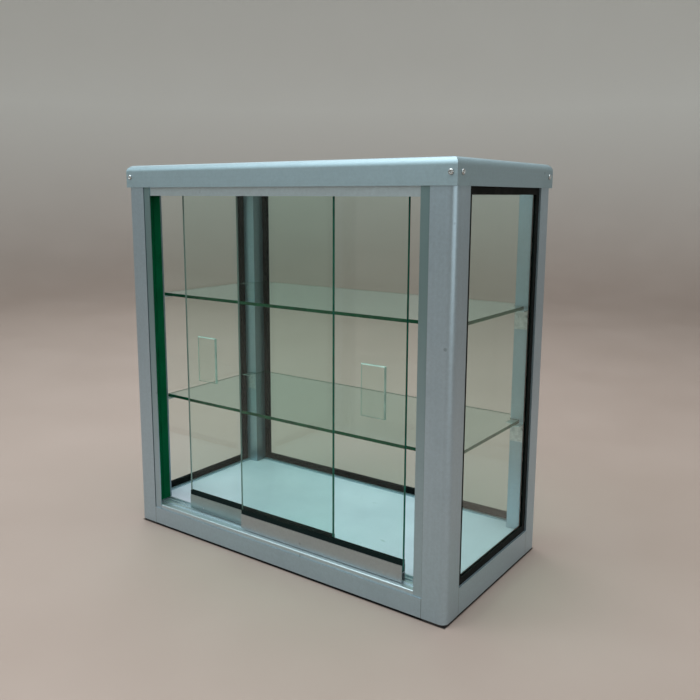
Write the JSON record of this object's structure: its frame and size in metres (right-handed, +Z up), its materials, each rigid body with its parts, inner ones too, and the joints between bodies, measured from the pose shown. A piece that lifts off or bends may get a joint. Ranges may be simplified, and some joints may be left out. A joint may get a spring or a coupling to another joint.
{
  "type": "tabletop display case",
  "caption": "Aluminium-framed tabletop display case with glass sides, back and top, sliding glass doors on a double track and glass shelves on post brackets.",
  "frame": {"origin": "on the table, under the middle of the case", "axes": "+X to the right of someone facing the doors, +Y away from them towards the back, +Z up"},
  "size_m": [0.6144, 0.3094, 0.614],
  "materials": {
    "frame_aluminium": "satin anodised",
    "cap_aluminium": "satin anodised",
    "spigot_aluminium": "mill finish",
    "clear_glass": "clear float glass, green at the edges",
    "pull_glass": "clear, bevelled",
    "gasket_rubber": "matt black",
    "base_laminate": "pale laminate on board",
    "door_buffer": "soft green strip",
    "bracket_steel": "bright zinc plate",
    "screw_steel": "bright zinc plate",
    "axle_steel": "ground",
    "roller_nylon": "moulded nylon",
    "foot_plastic": "moulded, black"
  },
  "bodies": {
    "cabinet": {"post_front_left": "frame_aluminium", "foot_front_left": "foot_plastic", "post_front_right": "frame_aluminium", "foot_front_right": "foot_plastic", "post_rear_left": "frame_aluminium", "foot_rear_left": "foot_plastic", "post_rear_right": "frame_aluminium", "foot_rear_right": "foot_plastic", "bottom_rail_left": "frame_aluminium", "bottom_rail_right": "frame_aluminium", "bottom_rail_rear": "frame_aluminium", "bottom_rail_front": "frame_aluminium", "bottom_rail_spigots": "spigot_aluminium", "bottom_track": "frame_aluminium", "top_rail_left": "frame_aluminium", "top_rail_right": "frame_aluminium", "top_rail_rear": "frame_aluminium", "top_rail_front": "frame_aluminium", "top_rail_spigots": "spigot_aluminium", "top_track": "frame_aluminium", "door_buffer_left": "door_buffer", "door_buffer_right": "door_buffer", "cap_front": "cap_aluminium", "cap_rear": "cap_aluminium", "cap_left": "cap_aluminium", "cap_right": "cap_aluminium", "cap_screws": "screw_steel", "left_pane": "clear_glass", "left_gasket": "gasket_rubber", "right_pane": "clear_glass", "right_gasket": "gasket_rubber", "rear_pane": "clear_glass", "rear_gasket": "gasket_rubber", "top_pane": "clear_glass", "top_gasket": "gasket_rubber", "base_board": "base_laminate", "shelf_lower": "clear_glass", "shelf_brackets_lower": "bracket_steel", "shelf_upper": "clear_glass", "shelf_brackets_upper": "bracket_steel", "bracket_screws": "screw_steel"},
    "door_left": {"door_glass_left": "clear_glass", "door_shoe_left": "frame_aluminium", "door_gasket_left": "gasket_rubber", "door_pull_left": "pull_glass", "door_axles_left": "axle_steel"},
    "roller_left_outer": {"roller_left_outer": "roller_nylon"},
    "roller_left_inner": {"roller_left_inner": "roller_nylon"},
    "door_right": {"door_glass_right": "clear_glass", "door_shoe_right": "frame_aluminium", "door_gasket_right": "gasket_rubber", "door_pull_right": "pull_glass", "door_axles_right": "axle_steel"},
    "roller_right_outer": {"roller_right_outer": "roller_nylon"},
    "roller_right_inner": {"roller_right_inner": "roller_nylon"}
  },
  "joints": [
    {"name": "door_left_slide", "type": "slide", "parent": "cabinet", "child": "door_left", "axis": [1, 0, 0], "range_m": [-0.0635, 0.1635]},
    {"name": "door_right_slide", "type": "slide", "parent": "cabinet", "child": "door_right", "axis": [1, 0, 0], "range_m": [-0.1915, 0.0355]},
    {"name": "roller_left_outer_spin", "type": "hinge", "parent": "door_left", "child": "roller_left_outer", "pos_m": [-0.171, -0.125, 0.0455], "axis": [0, 1, 0], "continuous": true},
    {"name": "roller_left_inner_spin", "type": "hinge", "parent": "door_left", "child": "roller_left_inner", "pos_m": [0.071, -0.125, 0.0455], "axis": [0, 1, 0], "continuous": true},
    {"name": "roller_right_outer_spin", "type": "hinge", "parent": "door_right", "child": "roller_right_outer", "pos_m": [0.199, -0.136, 0.0455], "axis": [0, 1, 0], "continuous": true},
    {"name": "roller_right_inner_spin", "type": "hinge", "parent": "door_right", "child": "roller_right_inner", "pos_m": [-0.043, -0.136, 0.0455], "axis": [0, 1, 0], "continuous": true}
  ],
  "couplings": [
    {"joint": "roller_left_outer_spin", "follows": "door_left_slide", "rad_per_m": 200},
    {"joint": "roller_left_inner_spin", "follows": "door_left_slide", "rad_per_m": 200},
    {"joint": "roller_right_outer_spin", "follows": "door_right_slide", "rad_per_m": 200},
    {"joint": "roller_right_inner_spin", "follows": "door_right_slide", "rad_per_m": 200}
  ]
}
